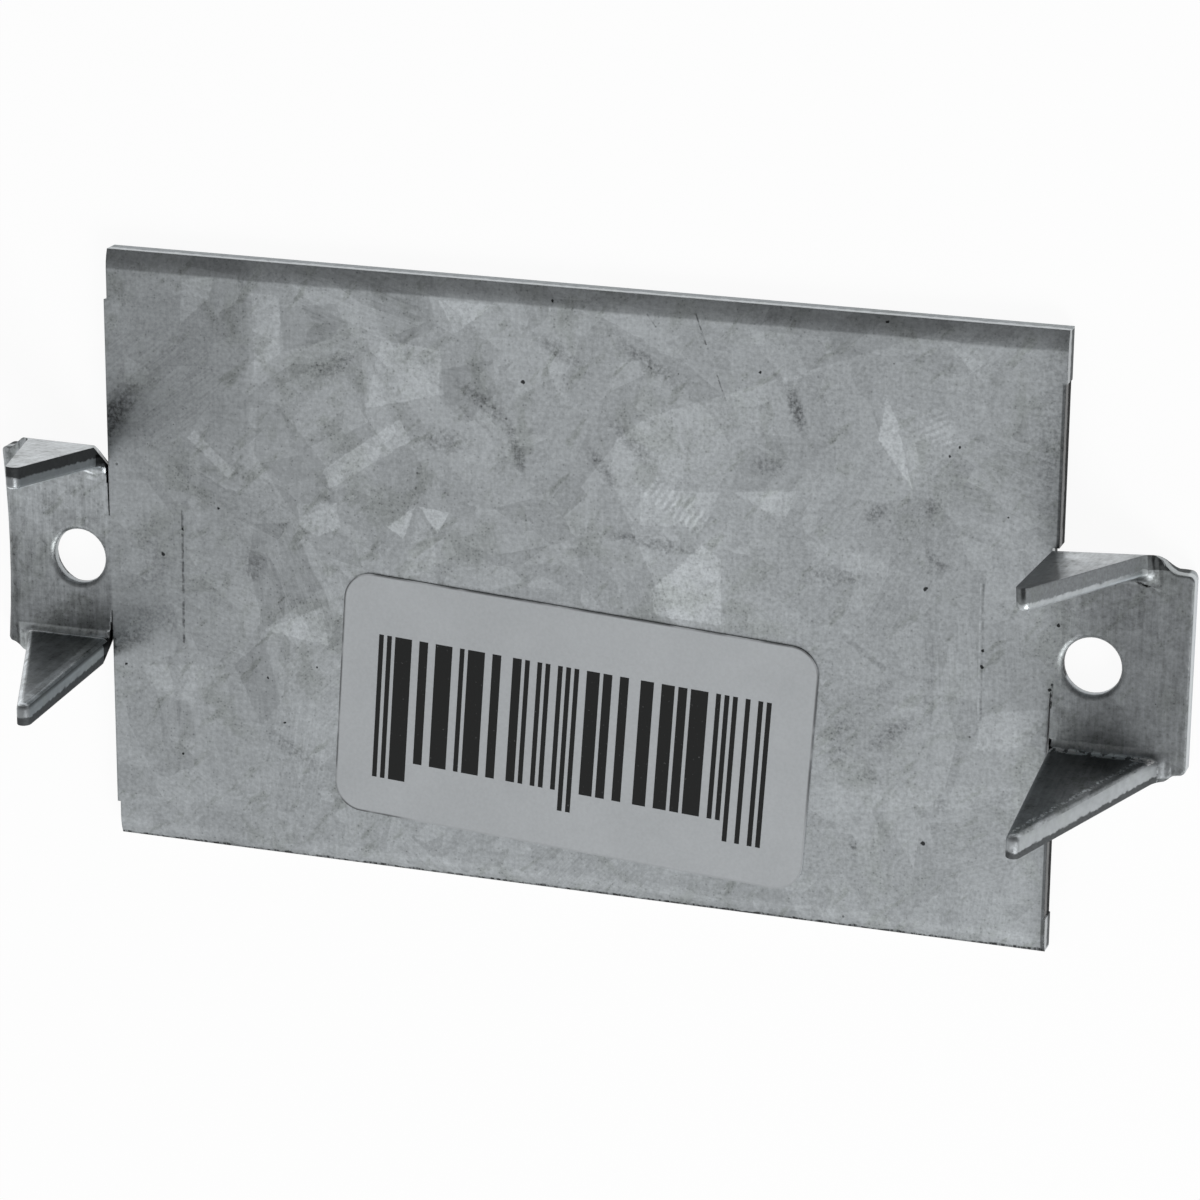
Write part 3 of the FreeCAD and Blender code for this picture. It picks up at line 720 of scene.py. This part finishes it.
def fine_pits(sheet):
    """Mask of the small pits scattered over the sheet."""
    g = sheet.g
    distance, colour = g.cells(sheet.point, 0.55)
    rare, size, _ = g.split(colour)
    radius = g.add(g.mul(size, 0.035), 0.015)
    return g.mul(g.math("GREATER_THAN", rare, 0.72), g.math("LESS_THAN", distance, radius))


def steel_normal(sheet):
    """Normal with soft edges and a faint unevenness."""
    g = sheet.g
    bevel = g.node("ShaderNodeBevel", samples=2)
    bevel.inputs["Radius"].default_value = 0.16 * MM
    uneven, _ = g.noise(sheet.point, 3.0, 3.0, 0.6)
    bump = g.node("ShaderNodeBump")
    bump.inputs["Strength"].default_value = 0.25
    bump.inputs["Distance"].default_value = 0.03 * MM
    g.put(bump.inputs["Height"], uneven)
    g.put(bump.inputs["Normal"], bevel.outputs[0])
    return bump.outputs[0]


def steel_material():
    material, g = new_material("galvanised_steel")
    sheet = Sheet(g)
    edge, burnish, cut = cut_edges(sheet)
    crystals, level, dusty = spangle(sheet)
    marks, black = front_marks(sheet)
    tabs = g.step(g.size(sheet.x), PLATE_END - 0.10, PLATE_END + 0.20)
    worked = g.add(g.centred(sheet.mottle, 1.0), g.centred(sheet.drawn, 0.6))
    face = g.add(1.0, g.add(crystals, marks))
    face = g.add(face, g.mul(tabs, worked))
    face = g.add(face, fold_marks(sheet))
    face = g.mul(face, plate_shade(sheet, tabs, level))
    face = g.mul(face, g.add(1.0, prong_faces(sheet)))
    pit = g.math("MAXIMUM", g.mul(fine_pits(sheet), 0.6), black)
    face = g.mul(face, g.sub(1.0, g.mul(pit, 0.9)))
    tone = g.mix(edge, face, cut)
    tint = g.mix_vector(g.mul(dusty, 0.8), STEEL_TINT, DUSTY_TINT)
    face_rough = g.add(0.36, g.add(g.mul(level, 0.08), g.mul(dusty, 0.10)))
    shader = g.node("ShaderNodeBsdfPrincipled")
    shader.inputs["Metallic"].default_value = 1.0
    g.put(shader.inputs["Base Color"], g.vector("SCALE", tint, scale=g.mul(tone, STEEL_LEVEL)))
    g.put(shader.inputs["Roughness"], g.mix(edge, face_rough, g.mix(burnish, 0.75, 0.36)))
    g.put(shader.inputs["Normal"], steel_normal(sheet))
    g.finish(shader.outputs[0])
    return material


def label_local(g, point):
    """Point measured along and up the label from its middle, in mm."""
    x, y, _ = g.split(point)
    turn = math.radians(LABEL_TURN)
    x, y = g.sub(x, LABEL_X), g.sub(y, LABEL_Y)
    along = g.add(g.mul(x, math.cos(turn)), g.mul(y, math.sin(turn)))
    up = g.sub(g.mul(y, math.cos(turn)), g.mul(x, math.sin(turn)))
    return along, up


def label_rim(g, point):
    """Mask of the darker line along the label's edge, which is faint toward the bottom except at the left.
    """
    along, up = label_local(g, point)
    out_x = g.sub(g.size(along), LABEL_WIDTH / 2 - LABEL_CORNER)
    out_y = g.sub(g.size(up), LABEL_HEIGHT / 2 - LABEL_CORNER)
    corner = g.vector("LENGTH", g.join(g.math("MAXIMUM", out_x, 0.0), g.math("MAXIMUM", out_y, 0.0), 0.0))
    inside = g.math("MINIMUM", g.math("MAXIMUM", out_x, out_y), 0.0)
    distance = g.sub(g.add(corner, inside), LABEL_CORNER)
    mark_level, _ = g.noise(point, 0.5, 2.0, 0.5)
    rim = g.mul(g.step(distance, -0.16, -0.04), g.step(mark_level, 0.30, 0.55, 0.25, 0.75))
    return g.mul(rim, g.math("MAXIMUM", g.step(up, -5.0, 0.0, 0.15, 1.0), g.step(along, -9.5, -10.5)))


def label_material():
    material, g = new_material("label_paper")
    point = g.millimetres()
    fibres, _ = g.noise(point, 5.0, 3.0, 0.6)
    stain, _ = g.noise(point, 0.25, 3.0, 0.55)
    level = g.add(0.480, g.centred(fibres, 0.10))
    level = g.add(level, g.centred(stain, 0.08))
    level = g.mul(level, g.sub(1.0, label_rim(g, point)))
    shader = g.node("ShaderNodeBsdfPrincipled")
    shader.inputs["Roughness"].default_value = 0.6
    shader.inputs["Specular IOR Level"].default_value = 0.35
    g.put(shader.inputs["Base Color"], g.vector("SCALE", PAPER_TINT, scale=level))
    g.finish(shader.outputs[0])
    return material


def ink_material():
    material, g = new_material("label_ink")
    flecks, _ = g.noise(g.millimetres(), 6.0, 3.0, 0.6)
    level = g.add(0.014, g.mul(g.step(flecks, 0.66, 0.78), 0.10))
    shader = g.node("ShaderNodeBsdfPrincipled")
    shader.inputs["Roughness"].default_value = 0.55
    shader.inputs["Specular IOR Level"].default_value = 0.2
    g.put(shader.inputs["Base Color"], g.vector("SCALE", INK_TINT, scale=level))
    g.finish(shader.outputs[0])
    return material


def mesh_object(name, bm, material):
    mesh = bpy.data.meshes.new(name)
    bm.normal_update()
    bm.to_mesh(mesh)
    bm.free()
    made = bpy.data.objects.new(name, mesh)
    bpy.context.scene.collection.objects.link(made)
    mesh.materials.append(material)
    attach(made, "root")
    return made


def stripe_steps():
    """Which steps of the label's field are dark: seeded runs, with pairs at the ends and the middle."""
    rng = random.Random(11)
    dark = []
    while len(dark) < STRIPE_STEPS:
        dark += [True] * rng.choice((1, 1, 1, 2, 2, 3, 4)) + [False] * rng.choice((1, 1, 1, 2, 2, 3))
    dark = dark[:STRIPE_STEPS]
    for first in LONG_PAIRS:
        for index in range(max(first - 1, 0), min(first + 4, STRIPE_STEPS)):
            dark[index] = index in (first, first + 2)
    return dark


def stripe_runs(dark):
    """First step and end of each run of dark steps."""
    index = 0
    while index < STRIPE_STEPS:
        end = index
        while end < STRIPE_STEPS and dark[end]:
            end += 1
        if end > index:
            yield index, end
        index = end + 1


def label_stripes():
    """Generic field of upright stripes printed on the label, with longer ones at its ends and middle."""
    step = STRIPE_FIELD / STRIPE_STEPS
    bm = bmesh.new()
    place = Matrix.Translation((LABEL_X * MM, LABEL_Y * MM, (SHEET + LABEL_THICKNESS) * MM))
    place = place @ Matrix.Rotation(math.radians(LABEL_TURN), 4, "Z")
    for first, end in stripe_runs(stripe_steps()):
        long = first < LONG_LEFT or end > LONG_RIGHT or LONG_MIDDLE[0] <= first <= LONG_MIDDLE[1]
        low = LONG_STRIPE_FOOT if long else STRIPE_FOOT
        left = STRIPE_START + first * step - STRIPE_SPREAD
        right = STRIPE_START + end * step + STRIPE_SPREAD
        corners = [(left, low), (right, low), (right, STRIPE_TOP), (left, STRIPE_TOP)]
        bottom = [bm.verts.new(place @ Vector((a * MM, b * MM, 0.0))) for a, b in corners]
        top = [bm.verts.new(place @ Vector((a * MM, b * MM, INK_THICKNESS * MM))) for a, b in corners]
        bm.faces.new(top)
        bm.faces.new(bottom[::-1])
        for i in range(4):
            j = (i + 1) % 4
            bm.faces.new((bottom[i], bottom[j], top[j], top[i]))
    return mesh_object("label_stripes", bm, ink_material())


def prong_name(point):
    """Name of the prong that stands nearest to a point."""
    return ("upper" if point.y > MIDLINE_Y else "lower") + ("_right" if point.x > 0 else "_left")


def sheet_front(point):
    """Whether a point in mm, out at a tab, lies on the sheet's front or on a prong's inner side."""
    if abs(point.z - SHEET) < FLAT_SLACK:
        return True
    if point.z < SHEET:
        return False
    name = prong_name(point)
    side_x, side_y, bend, inset, base, _, skew = PRONGS[name]
    local = Vector((point.x * side_x - PLATE_END - inset - base / 2, point.y * side_y - bend, point.z))
    local = Matrix.Rotation(math.radians(-skew), 3, "Z") @ local
    on_leg = abs(PRONG_NORMALS[name].dot(point) - PRONG_FACES[name]) < PRONG_SLACK
    from_axis = math.hypot(local.y, local.z - SHEET - BEND_RADIUS)
    return on_leg or abs(from_axis - BEND_RADIUS) < PRONG_SLACK


def rolled_edges(bm):
    """The sheet's front edges that the shear rolled, by prong and by tab."""
    rolls = {}
    for edge in bm.edges:
        ends = [vert.co / MM for vert in edge.verts]
        if edge.calc_face_angle() < math.radians(CUT_ANGLE) or not all(sheet_front(end) for end in ends):
            continue
        middle = (ends[0] + ends[1]) / 2
        from_hole = math.hypot(abs(middle.x) - NAIL_HOLE_X, middle.y - TAB_Y)
        if max(end.z for end in ends) > SHEET + FLAT_SLACK:
            rolls.setdefault(prong_name(middle), []).append(edge)
        elif middle.x > TAB_ROLL_X or abs(from_hole - HOLE_RING) < HOLE_RING_SLACK:
            rolls.setdefault("tab_right" if middle.x > 0 else "tab_left", []).append(edge)
    return rolls


def rolled_sheet(node, material):
    """The stamped sheet with the shear's soft roll along the front edges of its tabs and prongs."""
    bm = bmesh.new()
    bm.from_mesh(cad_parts[node].data)
    bmesh.ops.remove_doubles(bm, verts=bm.verts, dist=1e-7)
    bmesh.ops.dissolve_limit(bm, angle_limit=math.radians(0.5), verts=bm.verts, edges=bm.edges)
    for vert in bm.verts:
        if vert.co.x > CORNER_X * MM and abs(vert.co.y) > CORNER_Y * MM:
            vert.co.x -= CORNER_WEAR * MM
    for name, edges in rolled_edges(bm).items():
        bmesh.ops.bevel(
            bm, geom=edges, offset=ROLL[name] * MM, offset_type="OFFSET", segments=ROLL_SEGMENTS,
            profile=0.5, affect="EDGES", clamp_overlap=False, loop_slide=True,
        )
    made = mesh_object("stop_plate_rolled", bm, material)
    made.data.polygons.foreach_set("use_smooth", [True] * len(made.data.polygons))
    made.data.set_sharp_from_angle(angle=math.radians(SHARP_ANGLE))
    weighted = made.modifiers.new("normals", "WEIGHTED_NORMAL")
    weighted.keep_sharp = True
    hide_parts(node)
    return made


def dress(node, material):
    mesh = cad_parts[node].data
    mesh.materials.clear()
    mesh.materials.append(material)


def floor_material():
    material, g = new_material("floor_white")
    path = g.node("ShaderNodeLightPath")
    seen = g.math("MAXIMUM", path.outputs["Is Camera Ray"], path.outputs["Is Glossy Ray"])
    seen = g.math("MAXIMUM", seen, path.outputs["Is Transmission Ray"])
    diffuse = g.node("ShaderNodeBsdfDiffuse")
    diffuse.inputs["Color"].default_value = (0.96, 0.96, 0.96, 1)
    glow = g.node("ShaderNodeEmission")
    glow.inputs["Color"].default_value = (1, 1, 1, 1)
    glow.inputs["Strength"].default_value = 1.0
    blend = g.node("ShaderNodeMixShader")
    g.put(blend.inputs[0], g.mul(seen, 0.94))
    g.put(blend.inputs[1], diffuse.outputs[0])
    g.put(blend.inputs[2], glow.outputs[0])
    g.finish(blend.outputs[0])
    return material


def add_floor():
    mesh = bpy.data.meshes.new("floor")
    corners = [(x * FLOOR_HALF, y * FLOOR_HALF, 0) for x, y in ((-1, -1), (1, -1), (1, 1), (-1, 1))]
    mesh.from_pydata(corners, [], [(0, 1, 2, 3)])
    mesh.materials.append(floor_material())
    floor = bpy.data.objects.new("floor", mesh)
    floor.location.z = -FLOOR_DROP
    bpy.context.scene.collection.objects.link(floor)


def add_world():
    """A soft studio that is lighter toward -Y, and that the camera itself sees as white."""
    world = bpy.data.worlds.new("studio")
    world.use_nodes = True
    bpy.context.scene.world = world
    g = Graph(world.node_tree)
    coord = g.node("ShaderNodeTexCoord")
    dx, dy, _ = g.split(coord.outputs["Generated"])
    level = g.step(dy, -0.18, 0.06, 0.90, 0.34)
    level = g.mul(level, g.step(dy, 0.45, 0.75, 1.0, 0.4))
    level = g.add(level, g.step(dy, -0.85, -0.35, 0.35, 0.0))
    level = g.mul(level, g.step(dx, -0.62, -0.30, 0.74, 1.0))
    level = g.mul(level, g.step(dx, -0.40, -0.05, 1.0, 0.64))
    path = g.node("ShaderNodeLightPath")
    level = g.mix(path.outputs["Is Camera Ray"], level, 1.0)
    background = g.node("ShaderNodeBackground")
    g.put(background.inputs["Color"], g.join(level, level, level))
    out = g.node("ShaderNodeOutputWorld")
    world.node_tree.links.new(background.outputs[0], out.inputs["Surface"])


def add_softbox(name, place, target, width, height, power):
    light = bpy.data.lights.new(name, "AREA")
    light.shape = "RECTANGLE"
    light.size = width
    light.size_y = height
    light.energy = power
    made = bpy.data.objects.new(name, light)
    made.location = place
    aim = Vector(target) - Vector(place)
    made.rotation_euler = aim.to_track_quat("-Z", "Y").to_euler()
    bpy.context.scene.collection.objects.link(made)


def add_camera():
    """The camera at the photo's viewing angle."""
    data = bpy.data.cameras.new("camera")
    data.sensor_width = CAMERA_SENSOR
    data.lens = CAMERA_LENS
    data.clip_start = 0.01
    camera = bpy.data.objects.new("camera", data)
    axes = Matrix((CAMERA_RIGHT, CAMERA_UP, CAMERA_BACK)).transposed().to_4x4()
    camera.matrix_world = Matrix.Translation(CAMERA_PLACE * MM) @ axes
    bpy.context.scene.collection.objects.link(camera)
    bpy.context.scene.camera = camera


steel = steel_material()
dress("stop_plate", steel)
rolled_sheet("stop_plate", steel)
dress("label", label_material())
label_stripes()

add_floor()
add_world()
add_softbox("key", place=(0.35, -0.40, 0.35), target=(0, 0, 0), width=0.30, height=0.30, power=2.4)
add_camera()
bpy.context.scene.view_settings.view_transform = "Standard"
